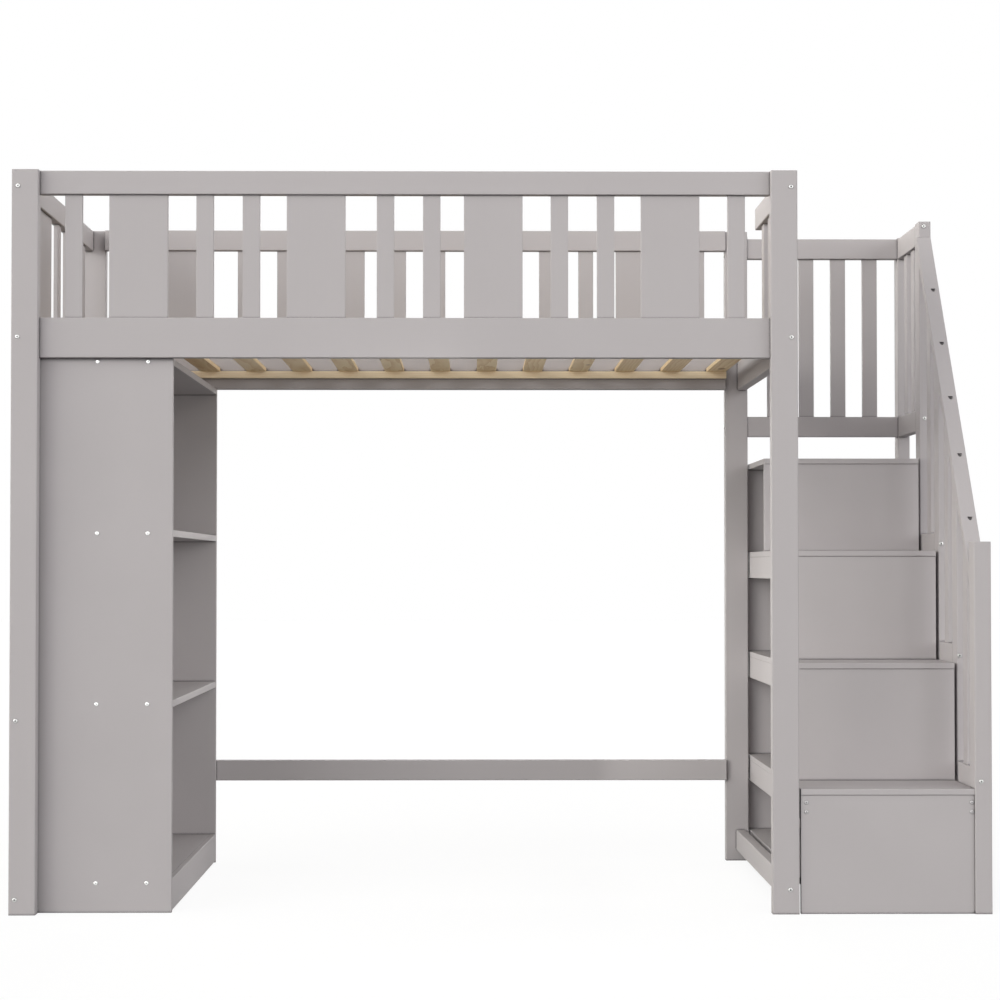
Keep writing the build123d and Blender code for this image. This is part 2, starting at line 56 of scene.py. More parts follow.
Colour = tuple[float, float, float]
WHITE: Colour = (1.0, 1.0, 1.0)
WARM: Colour = (1.005, 1.0, 0.94)
MM = 0.001
UP = Vector((0.0, 0.0, 1.0))
TO_FRONT = Vector((0.0, -1.0, 0.0))
TO_BACK = Vector((0.0, 1.0, 0.0))
RAY_SAMPLES = 6
EDGE_BAND = (0.02, 0.25)
SAME_PLACE = 1e-6
FACES_DOWN = -0.9
SMOOTH_ANGLE = 35.0
MERGE_REACH = 0.01 * MM
END_REACH = 1.0 * MM
BOLT_TURN = 2.4


class Slot(Enum):
    """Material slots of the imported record."""

    TIMBER = "painted_timber"
    BOARD = "painted_board"
    PINE = "natural_pine"
    STEEL = "bright_steel"


class Axis(Enum):
    """Directions of the frame, as the grain of a board runs."""

    X = 0
    Y = 1
    Z = 2

    def scales(self, along: float, across: float) -> tuple[float, float, float]:
        """Gives a pattern's scale on each axis where the grain runs this way.

        Args:
            along: Scale with the grain.
            across: Scale across the grain.

        Returns:
            The scales on X, Y and Z.
        """
        return tuple(along if axis is self else across for axis in Axis)


class Value:
    """A number on a shader socket; arithmetic on it adds Math nodes to its sheet."""

    def __init__(self, sheet: "NodeSheet", socket: bpy.types.NodeSocket | None) -> None:
        """Wraps one output socket of a sheet."""
        self.sheet = sheet
        self.socket = socket

    def _math(self, operation: str, first: "Value | float", second: "Value | float") -> "Value":
        """Adds a Math node on two numbers."""
        return self.sheet.node("ShaderNodeMath", {"operation": operation}, {0: first, 1: second})

    def __add__(self, other: "Value | float") -> "Value":
        """Adds a number."""
        return self._math("ADD", self, other)

    def __radd__(self, other: float) -> "Value":
        """Adds this to a number."""
        return self._math("ADD", other, self)

    def __sub__(self, other: "Value | float") -> "Value":
        """Takes a number away."""
        return self._math("SUBTRACT", self, other)

    def __rsub__(self, other: float) -> "Value":
        """Takes this away from a number."""
        return self._math("SUBTRACT", other, self)

    def __mul__(self, other: "Value | float") -> "Value":
        """Multiplies by a number."""
        return self._math("MULTIPLY", self, other)

    def __rmul__(self, other: float) -> "Value":
        """Multiplies a number by this."""
        return self._math("MULTIPLY", other, self)

    def __pow__(self, other: "Value | float") -> "Value":
        """Raises to a power."""
        return self._math("POWER", self, other)

    def band(self, low: float, high: float) -> "Value":
        """Runs smoothly from 0 at one number to 1 at another.

        Args:
            low: The number that gives 0.
            high: The number that gives 1.

        Returns:
            The new number, from 0 to 1.
        """
        return self.sheet.node(
            "ShaderNodeMapRange",
            {"interpolation_type": "SMOOTHSTEP"},
            {"Value": self, "From Min": low, "From Max": high, "To Min": 0.0, "To Max": 1.0},
        )


class NodeSheet:
    """The node tree of one material or of the world."""

    def __init__(self, owner: bpy.types.Material | bpy.types.World) -> None:
        """Clears the owner's node tree."""
        owner.use_nodes = True
        self.tree = owner.node_tree
        self.tree.nodes.clear()

    def node(
        self,
        kind: str,
        settings: dict[str, object] | None = None,
        inputs: dict[str | int, object] | None = None,
        output: str | int = 0,
    ) -> Value:
        """Adds one node.

        Args:
            kind: Blender's name for the type of node.
            settings: The node's own properties, which are set first.
            inputs: A value or a link for each named or numbered input.
            output: The output to hand on.

        Returns:
            The chosen output, or an empty value for a node that has none.
        """
        made = self.tree.nodes.new(kind)
        for name, setting in (settings or {}).items():
            setattr(made, name, setting)
        for key, value in (inputs or {}).items():
            if isinstance(value, Value):
                self.tree.links.new(value.socket, made.inputs[key])
            else:
                made.inputs[key].default_value = value
        return Value(self, made.outputs[output] if made.outputs else None)

    def place(self) -> Value:
        """Gives the place on the piece, in metres."""
        return self.node("ShaderNodeTexCoord", output="Object")

    def noise(self, place: Value, scales: tuple[float, float, float], detail: float = 2.0) -> Value:
        """Adds a noise pattern.

        Args:
            place: The place on the piece.
            scales: Patches per metre on each axis.
            detail: How many finer layers the noise has.

        Returns:
            The noise, about 0.5.
        """
        stretched = self.node("ShaderNodeMapping", inputs={"Vector": place, "Scale": scales})
        return self.node("ShaderNodeTexNoise", inputs={"Vector": stretched, "Scale": 1.0, "Detail": detail})

    def mix(self, share: Value, first: Value | Colour, second: Value | Colour) -> Value:
        """Blends two colours.

        Args:
            share: How much of the second colour shows.
            first: The colour where the share is 0.
            second: The colour where the share is 1.

        Returns:
            The blended colour.
        """
        ends = [value if isinstance(value, Value) else (*value, 1.0) for value in (first, second)]
        return self.node(
            "ShaderNodeMix", {"data_type": "RGBA"}, {0: share, 6: ends[0], 7: ends[1]}, output=2
        )

    def arris(self, radius: float) -> tuple[Value, Value]:
        """Rounds the look of a piece's edges.

        Args:
            radius: Radius of the rounding, in metres.

        Returns:
            The rounded normal, and a mask that is above 0 only near an edge, where the paint and pine get a
            painted highlight.
        """
        rounded = self.node("ShaderNodeBevel", {"samples": RAY_SAMPLES}, {"Radius": radius})
        flat = self.node("ShaderNodeNewGeometry", output="True Normal")
        facing = self.node(
            "ShaderNodeVectorMath", {"operation": "DOT_PRODUCT"}, {0: rounded, 1: flat}, output="Value"
        )
        return rounded, (1.0 - facing).band(*EDGE_BAND)

    def closeness(self, reach: float, band: tuple[float, float]) -> Value:
        """Finds where other surfaces stand close, as the mask of painted shade.

        Args:
            reach: How far off a surface may stand, in metres.
            band: The share of the view that it hides where the mask starts, and where it is full.

        Returns:
            A mask that is 0 in the open and 1 deep in a corner.
        """
        openness = self.node(
            "ShaderNodeAmbientOcclusion", {"samples": RAY_SAMPLES}, {"Distance": reach}, output="AO"
        )
        return (1.0 - openness).band(*band)

    def looked_at(self) -> Value:
        """Gives 1 where the camera sees this, in a mirror or through glass too, and 0 for other light."""
        camera = self.node("ShaderNodeLightPath", output="Is Camera Ray")
        mirror = self.node("ShaderNodeLightPath", output="Is Glossy Ray")
        return camera + mirror + self.node("ShaderNodeLightPath", output="Is Transmission Ray")

    def surface(self, **inputs: object) -> None:
        """Ends the sheet in a Principled surface with these inputs, named with _ for a space."""
        named = {name.replace("_", " "): value for name, value in inputs.items()}
        shader = self.node("ShaderNodeBsdfPrincipled", inputs=named)
        self.node("ShaderNodeOutputMaterial", inputs={"Surface": shader})


def shade(colour: Colour, share: float) -> Colour:
    """Gives a lighter or darker tone of a colour."""
    return tuple(channel * share for channel in colour)


@dataclass(frozen=True)
class Paint:
    """Satin paint on timber whose grain shows a little, or on smooth board; edges get painted highlight,
    corners painted shade.
    """

    colour: Colour
    roughness: float
    grain_relief: float
    peel_relief: float
    arris_radius: float
    full_grain_relief: float = 0.08 * MM
    streaks_per_metre: tuple[float, float] = (5.0, 190.0)
    streak_detail: float = 4.0
    patches_per_metre: float = 4.0
    patch_band: tuple[float, float] = (0.3, 0.7)
    peel_per_metre: float = 700.0
    streak_share: float = 0.5
    tones: tuple[float, float] = (0.985, 1.015)
    # Painted highlight: the paint lightens near its edges.
    edge_highlight_share: float = 0.5
    edge_highlight_tone: float = 1.1
    # Painted shade: the paint darkens where other surfaces stand close.
    painted_shade_reach: float = 10.0 * MM
    painted_shade_band: tuple[float, float] = (0.24, 0.52)
    painted_shade_strength: float = 0.85
    painted_shade_tone: float = 0.1
    patch_gloss: float = 0.12
    streak_gloss: float = 0.08
    sheen: float = 0.04

    def material(self, name: str, grain: Axis) -> bpy.types.Material:
        """Makes the paint for boards whose grain runs one way.

        Args:
            name: The material's name.
            grain: The way that the grain runs.

        Returns:
            The material.
        """
        material = bpy.data.materials.new(name)
        sheet = NodeSheet(material)
        place = sheet.place()
        streaks = sheet.noise(place, grain.scales(*self.streaks_per_metre), self.streak_detail)
        patches = sheet.noise(place, (self.patches_per_metre,) * 3)
        peel = sheet.noise(place, (self.peel_per_metre,) * 3)
        normal, edge = sheet.arris(self.arris_radius)
        streaky = self.streak_share * min(1.0, self.grain_relief / self.full_grain_relief)
        tone = patches.band(*self.patch_band) * (1.0 - streaky) + streaks * streaky
        dark, light = (shade(self.colour, share) for share in self.tones)
        body = sheet.mix(tone, dark, light)
        # Painted highlight: lightens the paint near its edges.
        highlighted = sheet.mix(edge * self.edge_highlight_share, body, shade(self.colour, self.edge_highlight_tone))
        # Painted shade: darkens the paint in corners and between parts, where other surfaces stand close.
        painted_shade = sheet.closeness(self.painted_shade_reach, self.painted_shade_band)
        colour = sheet.mix(painted_shade * self.painted_shade_strength, highlighted, shade(self.colour, self.painted_shade_tone))
        height = streaks * self.grain_relief + peel * self.peel_relief
        bump = sheet.node("ShaderNodeBump", inputs={"Distance": 1.0, "Height": height, "Normal": normal})
        rough = self.roughness + (patches - 0.5) * self.patch_gloss + (streaks - 0.5) * self.streak_gloss
        sheet.surface(Base_Color=colour, Roughness=rough, Specular_IOR_Level=self.sheen, Normal=bump)
        return material


@dataclass(frozen=True)
class Pine:
    """Bare planed pine with growth rings, a few knots and a tone of its own on each board."""

    early_wood: Colour
    late_wood: Colour
    knot: Colour
    roughness: float
    ring_spacing: float
    board_pitch: float
    ring_stretch: float = 0.12
    ring_distortion: float = 6.0
    ring_detail: float = 2.0
    ring_detail_scale: float = 0.6
    ring_sharpness: float = 2.2
    ring_share: float = 0.75
    ring_relief: float = 0.04 * MM
    ring_gloss: float = 0.1
    fibres_per_metre: tuple[float, float] = (14.0, 900.0)
    fibre_detail: float = 3.0
    fibre_share: float = 0.25
    fibre_relief: float = 0.05 * MM
    knots_per_metre: tuple[float, float] = (3.2, 9.0)
    knot_band: tuple[float, float] = (0.07, 0.13)
    knot_share: float = 0.75
    board_share: float = 0.3
    board_tone: float = 1.05
    arris_radius: float = 1.2 * MM
    # Painted highlight: the pine lightens near its edges.
    edge_highlight_share: float = 0.3
    edge_highlight_tone: float = 1.06
    sheen: float = 0.2

    def material(self, name: str, grain: Axis) -> bpy.types.Material:
        """Makes the pine for boards whose grain runs one way.

        Args:
            name: The material's name.
            grain: The way that the grain runs.

        Returns:
            The material.
        """
        material = bpy.data.materials.new(name)
        sheet = NodeSheet(material)
        place = sheet.place()
        side = "Y" if grain is Axis.X else "X"
        across = sheet.node("ShaderNodeSeparateXYZ", inputs={"Vector": place}, output=side)
        number = sheet.node("ShaderNodeMath", {"operation": "FLOOR"}, {0: across * (1.0 / self.board_pitch)})
        one_each = {"noise_dimensions": "1D"}
        own = sheet.node("ShaderNodeTexWhiteNoise", one_each, {"W": number}, output="Color")
        own_tone = sheet.node("ShaderNodeTexWhiteNoise", one_each, {"W": number})
        shifted = sheet.node("ShaderNodeVectorMath", {"operation": "ADD"}, {0: place, 1: own})
        stretch = grain.scales(self.ring_stretch, 1.0)
        squeezed = sheet.node("ShaderNodeMapping", inputs={"Vector": shifted, "Scale": stretch})
        rings = sheet.node(
            "ShaderNodeTexWave",
            {"wave_type": "RINGS", "rings_direction": grain.name, "wave_profile": "SAW"},
            {
                "Vector": squeezed,
                "Scale": pi / 10.0 / self.ring_spacing,
                "Distortion": self.ring_distortion,
                "Detail": self.ring_detail,
                "Detail Scale": self.ring_detail_scale,
            },
            output=1,
        )
        fibres = sheet.noise(shifted, grain.scales(*self.fibres_per_metre), self.fibre_detail)
        spread = grain.scales(*self.knots_per_metre)
        spots = sheet.node("ShaderNodeMapping", inputs={"Vector": shifted, "Scale": spread})
        knot_distance = sheet.node("ShaderNodeTexVoronoi", inputs={"Vector": spots, "Scale": 1.0})
        knots = 1.0 - knot_distance.band(*self.knot_band)
        normal, edge = sheet.arris(self.arris_radius)
        late = rings ** self.ring_sharpness * self.ring_share + fibres * self.fibre_share
        wood = sheet.mix(late, self.early_wood, self.late_wood)
        toned = sheet.mix(own_tone * self.board_share, wood, shade(self.late_wood, self.board_tone))
        knotted = sheet.mix(knots * self.knot_share, toned, self.knot)
        # Painted highlight: lightens the pine near its edges.
        colour = sheet.mix(edge * self.edge_highlight_share, knotted, shade(self.early_wood, self.edge_highlight_tone))
        height = fibres * self.fibre_relief + rings * self.ring_relief
        bump = sheet.node("ShaderNodeBump", inputs={"Distance": 1.0, "Height": height, "Normal": normal})
        rough = self.roughness + rings * self.ring_gloss
        sheet.surface(Base_Color=colour, Roughness=rough, Specular_IOR_Level=self.sheen, Normal=bump)
        return material


@dataclass(frozen=True)
class Steel:
    """Zinc-plated steel with fine turning marks, and painted shade in corners and round the rim of a head.
    """

    colour: Colour
    roughness: float
    clouds_per_metre: float = 160.0
    cloud_detail: float = 3.0
    cloud_tone: float = 0.9
    cloud_gloss: float = 0.15
    marks_per_metre: float = 2500.0
    mark_relief: float = 0.01 * MM
    # Painted shade: the steel darkens where other surfaces stand close, round the rim of a head.
    rim_painted_shade_reach: float = 4.0 * MM
    rim_painted_shade_band: tuple[float, float] = (0.05, 0.45)
    rim_painted_shade_strength: float = 0.9
    rim_painted_shade_tone: float = 0.12

    def material(self, name: str) -> bpy.types.Material:
        """Makes the plated steel.

        Args:
            name: The material's name.

        Returns:
            The material.
        """
        material = bpy.data.materials.new(name)
        sheet = NodeSheet(material)
        place = sheet.place()
        cloud = sheet.noise(place, (self.clouds_per_metre,) * 3, self.cloud_detail)
        marks = sheet.noise(place, (self.marks_per_metre,) * 3)
        plated = sheet.mix(cloud, shade(self.colour, self.cloud_tone), self.colour)
        # Painted shade: darkens the steel round the rim of a head and in corners.
        rim = sheet.closeness(self.rim_painted_shade_reach, self.rim_painted_shade_band)
        colour = sheet.mix(rim * self.rim_painted_shade_strength, plated, shade(self.colour, self.rim_painted_shade_tone))
        bump = sheet.node("ShaderNodeBump", inputs={"Distance": 1.0, "Height": marks * self.mark_relief})
        rough = self.roughness + (cloud - 0.5) * self.cloud_gloss
        sheet.surface(Base_Color=colour, Metallic=1.0, Roughness=rough, Normal=bump)
        return material


class Finishes:
    """The materials of the whole bed, one for each finish and way of the grain."""

    def __init__(self) -> None:
        """Makes all the materials."""
        grey = (0.456, 0.429, 0.436)
        timber = Paint(
            grey, roughness=0.62, grain_relief=0.08 * MM, peel_relief=0.012 * MM, arris_radius=2.0 * MM
        )
        board = Paint(grey, roughness=0.62, grain_relief=0.0, peel_relief=0.015 * MM, arris_radius=1.2 * MM)
        pine = Pine(
            early_wood=(0.86, 0.69, 0.45),
            late_wood=(0.68, 0.475, 0.26),
            knot=(0.24, 0.12, 0.05),
            roughness=0.55,
            ring_spacing=5.0 * MM,
            board_pitch=137.9 * MM,
        )
        # The ledgers get a paler copy of the pine: painted light, for the light that falls on them through
        # the gaps between the slats.
        painted_light_pine = replace(pine, early_wood=(0.95, 0.82, 0.62), late_wood=(0.84, 0.66, 0.44))
        self.timber = {axis: timber.material(f"painted_timber_{axis.name}", axis) for axis in Axis}
        self.board = {axis: board.material(f"painted_board_{axis.name}", axis) for axis in Axis}
        self.pine = {
            Axis.X: painted_light_pine.material("painted_light_pine_X", Axis.X),
            Axis.Y: pine.material("natural_pine_Y", Axis.Y),
        }
        self.steel = Steel((0.84, 0.84, 0.83), roughness=0.3).material("bright_steel")
        self.bolt_steel = Steel((0.55, 0.55, 0.54), roughness=0.32).material("bolt_steel")
        # A darker copy of the steel, for the riser screws.
        self.darker_steel = Steel((0.40, 0.39, 0.39), roughness=0.4).material("darker_steel")

    def of(self, slot: Slot, grain: Axis) -> bpy.types.Material:
        """Gives the material of a slot for one way of the grain."""
        return {Slot.TIMBER: self.timber, Slot.BOARD: self.board, Slot.PINE: self.pine}[slot][grain]

    def dress(self, slot: Slot, grain: Axis, names: Iterable[str]) -> None:
        """Gives CAD nodes their finish.

        Args:
            slot: The record's slot that the nodes have.
            grain: The way that their grain runs.
            names: The nodes' names.
        """
        for name in names:
            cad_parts[name].material_slots[0].material = self.of(slot, grain)
            log.info("dressed %s as %s, grain along %s", name, slot.value, grain.name)


class Workpiece:
    """A mesh on the bench, shaped with Blender's own modelling operators."""

    def __init__(self) -> None:
        """Takes the primitive that was just added."""
        self.piece = bpy.context.object

    @classmethod
    def rod(cls, diameter: float, height: float, top: float, sides: int) -> "Workpiece":
        """Adds an upright rod about the Z axis.

        Args:
            diameter: Its diameter.
            height: Its height.
            top: The height of its top face.
            sides: How many sides its round has.

        Returns:
            The rod.
        """
        bpy.ops.object.select_all(action="DESELECT")
        bpy.ops.mesh.primitive_cylinder_add(
            vertices=sides, radius=diameter / 2, depth=height, location=(0.0, 0.0, top - height / 2)
        )
        bpy.ops.object.transform_apply(location=True, rotation=True, scale=True)
        return cls()

    @classmethod
    def block(cls, size: tuple[float, float, float], top: float) -> "Workpiece":
        """Adds a block about the Z axis.

        Args:
            size: Its size on X, Y and Z.
            top: The height of its top face.

        Returns:
            The block.
        """
        bpy.ops.object.select_all(action="DESELECT")
        bpy.ops.mesh.primitive_cube_add(size=1.0, location=(0.0, 0.0, top - size[2] / 2), scale=size)
        bpy.ops.object.transform_apply(location=True, rotation=True, scale=True)
        return cls()

    def _edit(self, select: Callable[[bmesh.types.BMesh], Iterable[object]]) -> None:
        """Enters edit mode with only the chosen faces or edges selected."""
        bpy.context.view_layer.objects.active = self.piece
        bpy.ops.object.mode_set(mode="EDIT")
        bpy.ops.mesh.select_all(action="DESELECT")
        mesh = bmesh.from_edit_mesh(self.piece.data)
        for element in select(mesh):
            element.select_set(True)
        bmesh.update_edit_mesh(self.piece.data)

    def round_rim(self, height: float, width: float, steps: int) -> None:
        """Rounds the rim at one height.

        Args:
            height: The height of the rim.
            width: How far the rounding reaches.
            steps: How many facets it has.
        """
        def rim(mesh: bmesh.types.BMesh) -> list[bmesh.types.BMEdge]:
            """Picks the edges that lie at the height."""
            return [e for e in mesh.edges if all(abs(v.co.z - height) < SAME_PLACE for v in e.verts)]

        self._edit(rim)
        bpy.ops.mesh.bevel(offset=width, segments=steps, profile=0.5, affect="EDGES")
        bpy.ops.object.mode_set(mode="OBJECT")

    def draw_shank(self, height: float, diameter: float, head_diameter: float, length: float) -> None:
        """Draws a shank out of the head's flat underside.

        Args:
            height: The height of the underside.
            diameter: The shank's diameter.
            head_diameter: The head's diameter.
            length: The shank's length.
        """
        def underside(mesh: bmesh.types.BMesh) -> list[bmesh.types.BMFace]:
            """Picks the face that looks down at the height."""
            low = [f for f in mesh.faces if abs(f.calc_center_median().z - height) < SAME_PLACE]
            return [f for f in low if f.normal.z < FACES_DOWN]

        self._edit(underside)
        bpy.ops.mesh.inset(thickness=(head_diameter - diameter) / 2)
        bpy.ops.mesh.extrude_region_move(TRANSFORM_OT_translate={"value": (0.0, 0.0, -length)})
        bpy.ops.object.mode_set(mode="OBJECT")

    def cut(self, tool: "Workpiece") -> None:
        """Cuts another workpiece out of this one, and removes it."""
        modifier = self.piece.modifiers.new("cut", "BOOLEAN")
        modifier.operation = "DIFFERENCE"
        modifier.solver = "EXACT"
        modifier.object = tool.piece
        bpy.context.view_layer.objects.active = self.piece
        bpy.ops.object.modifier_apply(modifier=modifier.name)
        bpy.data.objects.remove(tool.piece)

    def smooth(self) -> None:
        """Shades the faces smooth where they meet at a flat angle."""
        bpy.ops.object.select_all(action="DESELECT")
        self.piece.select_set(True)
        bpy.context.view_layer.objects.active = self.piece
        bpy.ops.object.shade_smooth_by_angle(angle=radians(SMOOTH_ANGLE))

    def set_out(self, name: str, places: list[Matrix]) -> bpy.types.Object:
        """Copies this piece to each place, joins the copies and removes the pattern.

        Args:
            name: The name of the joined piece.
            places: Where each copy goes.

        Returns:
            The joined piece, at the origin.
        """
        bpy.ops.object.select_all(action="DESELECT")
        copies = []
        for place in places:
            copy = self.piece.copy()
            copy.data = self.piece.data.copy()
            copy.data.transform(place)
            bpy.context.scene.collection.objects.link(copy)
            copy.select_set(True)
            copies.append(copy)
        bpy.context.view_layer.objects.active = copies[0]
        if len(copies) > 1:
            bpy.ops.object.join()
        bpy.data.objects.remove(self.piece)
        copies[0].name = name
        log.info("built %s, %d pieces", name, len(places))
        return copies[0]


def spot(seat: Vector, outward: Vector, turn: float) -> Matrix:
    """Gives the place of a fastener.

    Args:
        seat: The point that its own origin comes to.
        outward: The direction that its head looks in.
        turn: How far it is turned about its own axis.

    Returns:
        The matrix that moves it there.
    """
    facing = outward.to_track_quat("Z", "Y").to_matrix().to_4x4()
    return Matrix.Translation(seat) @ facing @ Matrix.Rotation(turn, 4, "Z")


def islands(mesh: bmesh.types.BMesh) -> list[set[bmesh.types.BMVert]]:
    """Parts the points of a mesh by the separate shapes that they belong to."""
    found = []
    waiting = set(mesh.verts)
    while waiting:
        island = {waiting.pop()}
        rim = list(island)
        while rim:
            vertex = rim.pop()
            near = {edge.other_vert(vertex) for edge in vertex.link_edges} - island
            island |= near
            rim.extend(near)
        waiting -= island
        found.append(island)
    return found


def head_of(island: set[bmesh.types.BMVert]) -> tuple[tuple[float, float, float], Vector]:
    """Finds the head of one fastener, which is the wider end.

    Args:
        island: The points of the fastener.

    Returns:
        The middle of the outer face of its head, and the direction that the head looks in.
    """
    low = Vector(min(v.co[i] for v in island) for i in range(3))
    high = Vector(max(v.co[i] for v in island) for i in range(3))
    along = max(range(3), key=lambda i: high[i] - low[i])
    middle = (low + high) / 2

    def spread(end: float) -> float:
        """Measures how far the points at one end reach from the middle line."""
        offsets = [v.co - middle for v in island if abs(v.co[along] - end) < END_REACH]
        return max(offset.length_squared - offset[along] ** 2 for offset in offsets)

    at_high = spread(high[along]) > spread(low[along])
    outward = Vector((0.0, 0.0, 0.0))
    outward[along] = 1.0 if at_high else -1.0
    seat = middle.copy()
    seat[along] = high[along] if at_high else low[along]
    return tuple(seat), outward


def fastener_places(node: str) -> list[Matrix]:
    """Finds where each fastener of a CAD node sits.

    Args:
        node: A node of separate fasteners, each a head on a narrower shank.

    Returns:
        One matrix for each, with its origin in the middle of the outer face of its head.
    """
    mesh = bmesh.new()
    mesh.from_mesh(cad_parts[node].data)
    bmesh.ops.remove_doubles(mesh, verts=mesh.verts, dist=MERGE_REACH)
    heads = sorted((head_of(island) for island in islands(mesh)), key=lambda head: head[0])
    mesh.free()
    return [spot(Vector(seat), outward, BOLT_TURN * i) for i, (seat, outward) in enumerate(heads)]


@dataclass(frozen=True)
class SocketBolt:
    """A bolt whose low domed head lies on the post over its bore, with a hexagon socket."""

    head_diameter: float = 11.4 * MM
    head_height: float = 2.4 * MM
    head_lift: float = 0.3 * MM
    dome: float = 1.9 * MM
    dome_facets: int = 5
    shank_diameter: float = 6.0 * MM
    length: float = 98.0 * MM
    socket_width: float = 5.0 * MM
    socket_depth: float = 2.2 * MM
    socket_sides: int = 6
    sides: int = 32

    def build(self) -> Workpiece:
        """Models one bolt along the Z axis.

        Returns:
            The bolt.
        """
        top = self.head_lift + self.head_height
        bolt = Workpiece.rod(self.head_diameter, self.head_height, top, self.sides)
        bolt.draw_shank(self.head_lift, self.shank_diameter, self.head_diameter, self.length)
        bolt.round_rim(top, self.dome, self.dome_facets)
        socket_top = top + self.socket_depth
        bolt.cut(Workpiece.rod(self.socket_width, 2 * self.socket_depth, socket_top, self.socket_sides))
        bolt.smooth()
        return bolt


@dataclass(frozen=True)
class CrossScrew:
    """The head of a wood screw with a crossed recess, its seat at the origin."""

    head_diameter: float = 10.5 * MM
    head_height: float = 2.4 * MM
    dome: float = 1.8 * MM
    recess_length: float = 4.6 * MM
    recess_width: float = 1.0 * MM
    recess_depth: float = 1.2 * MM
    dome_facets: int = 4
    sides: int = 28

    def build(self) -> Workpiece:
        """Models one screw head along the Z axis.

        Returns:
            The screw head.
        """
        head = Workpiece.rod(self.head_diameter, self.head_height, self.head_height, self.sides)
        head.round_rim(self.head_height, self.dome, self.dome_facets)
        top = self.head_height + self.recess_depth
        for size in ((self.recess_length, self.recess_width), (self.recess_width, self.recess_length)):
            head.cut(Workpiece.block((*size, 2 * self.recess_depth), top))
        head.smooth()
        return head


def fit(piece: bpy.types.Object, material: bpy.types.Material, slot: Slot, *nodes: str) -> None:
    """Gives a new piece its finish and its place in the row.

    Args:
        piece: The piece.
        material: Its material.
        slot: The record's slot that its finish comes from; not used.
        nodes: The CAD nodes that it stands for.
    """
    piece.data.materials.clear()
    piece.data.materials.append(material)
    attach(piece, "root")
    if nodes:
        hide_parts(*nodes)


@dataclass
class BedFrame:
    """Posts, rails and slatted guards of the bed, and the bolts that hold the whole frame."""

    bolt: SocketBolt = SocketBolt()
    upright: tuple[str, ...] = (
        "front_left_post",
        "front_right_post",
        "back_left_post",
        "back_right_post",
        "front_guard_panels",
        "front_guard_slats",
        "back_guard_panels",
        "back_guard_slats",
        "left_guard_slats",
        "left_guard_panels",
        "right_guard_slats",
        "right_guard_panel",
    )
    lengthwise: tuple[str, ...] = (
        "front_side_rail",
        "front_guard_rail",
        "back_side_rail",
        "back_guard_rail",
        "back_stretcher",
    )
    crosswise: tuple[str, ...] = (
        "left_end_rail",
        "left_guard_rail",
        "left_middle_rail",
        "left_bottom_rail",
        "right_end_rail",
        "right_guard_rail",
        "right_bottom_rail",
    )

    def dress(self, finishes: Finishes) -> None:
        """Paints the timber along its grain."""
        finishes.dress(Slot.TIMBER, Axis.Z, self.upright)
        finishes.dress(Slot.TIMBER, Axis.X, self.lengthwise)
        finishes.dress(Slot.TIMBER, Axis.Y, self.crosswise)

    def build_bolts(self, finishes: Finishes) -> None:
        """Models the bolts in place of the plain ones."""
        bolts = self.bolt.build().set_out("socket_bolts", fastener_places("frame_bolts"))
        fit(bolts, finishes.bolt_steel, Slot.STEEL, "frame_bolts")


@dataclass
class MattressBase:
    """Bare pine slats on their ledgers."""

    screw: CrossScrew = CrossScrew(
        head_diameter=7.5 * MM, head_height=1.2 * MM, dome=0.9 * MM, recess_depth=0.8 * MM
    )
    screw_turn: float = 1.9
    slat_count: int = 14
    slat_width: float = 57.5 * MM

    def dress(self, finishes: Finishes) -> None:
        """Leaves the pine bare."""
        finishes.dress(Slot.PINE, Axis.Y, ["bed_slats"])
        # The ledgers take the paler pine, which is painted light.
        finishes.dress(Slot.PINE, Axis.X, ["front_ledger", "back_ledger"])

    def build_screws(self, finishes: Finishes) -> None:
        """Screws each slat down on both ledgers."""
        low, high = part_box("bed_slats")
        pitch = (high.x - low.x - self.slat_width) / (self.slat_count - 1)
        places = []
        for ledger in ("front_ledger", "back_ledger"):
            line = sum((corner.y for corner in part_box(ledger)), 0.0) / 2
            for i in range(self.slat_count):
                seat = Vector((low.x + self.slat_width / 2 + i * pitch, line, high.z))
                places.append(spot(seat, UP, self.screw_turn * i))
        screws = self.screw.build().set_out("slat_screws", places)
        fit(screws, finishes.steel, Slot.STEEL)


@dataclass
class Bookcase:
    """Painted boards of the bookcase, screwed through its front and back panels into the shelves."""

    screw: CrossScrew = CrossScrew()
    screw_edge: float = 63.5 * MM
    screw_spacing: float = 129.0 * MM
    screw_turn: float = 1.3
    back_screw_turn: float = 0.7
    panels: tuple[str, ...] = ("bookcase_front_panel", "bookcase_back_panel", "bookcase_side_board")
    shelves: tuple[str, ...] = (
        "bookcase_top",
        "bookcase_upper_shelf",
        "bookcase_lower_shelf",
        "bookcase_bottom_shelf",
    )

    def dress(self, finishes: Finishes) -> None:
        """Paints the boards."""
        finishes.dress(Slot.BOARD, Axis.Z, self.panels)
        finishes.dress(Slot.BOARD, Axis.Y, (*self.shelves, "bookcase_plinth"))

    def build_screws(self, finishes: Finishes) -> None:
        """Sets two screws at the level of each shelf in both panels."""
        front_low, front_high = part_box("bookcase_front_panel")
        _, back_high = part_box("bookcase_back_panel")
        places = []
        for shelf in self.shelves:
            low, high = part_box(shelf)
            level = (low.z + high.z) / 2
            for step in range(2):
                x = front_high.x - self.screw_edge - step * self.screw_spacing
                turn = self.screw_turn * len(places)
                places.append(spot(Vector((x, front_low.y, level)), TO_FRONT, turn))
                places.append(spot(Vector((x, back_high.y, level)), TO_BACK, turn + self.back_screw_turn))
        screws = self.screw.build().set_out("bookcase_screws", places)
        fit(screws, finishes.steel, Slot.STEEL)


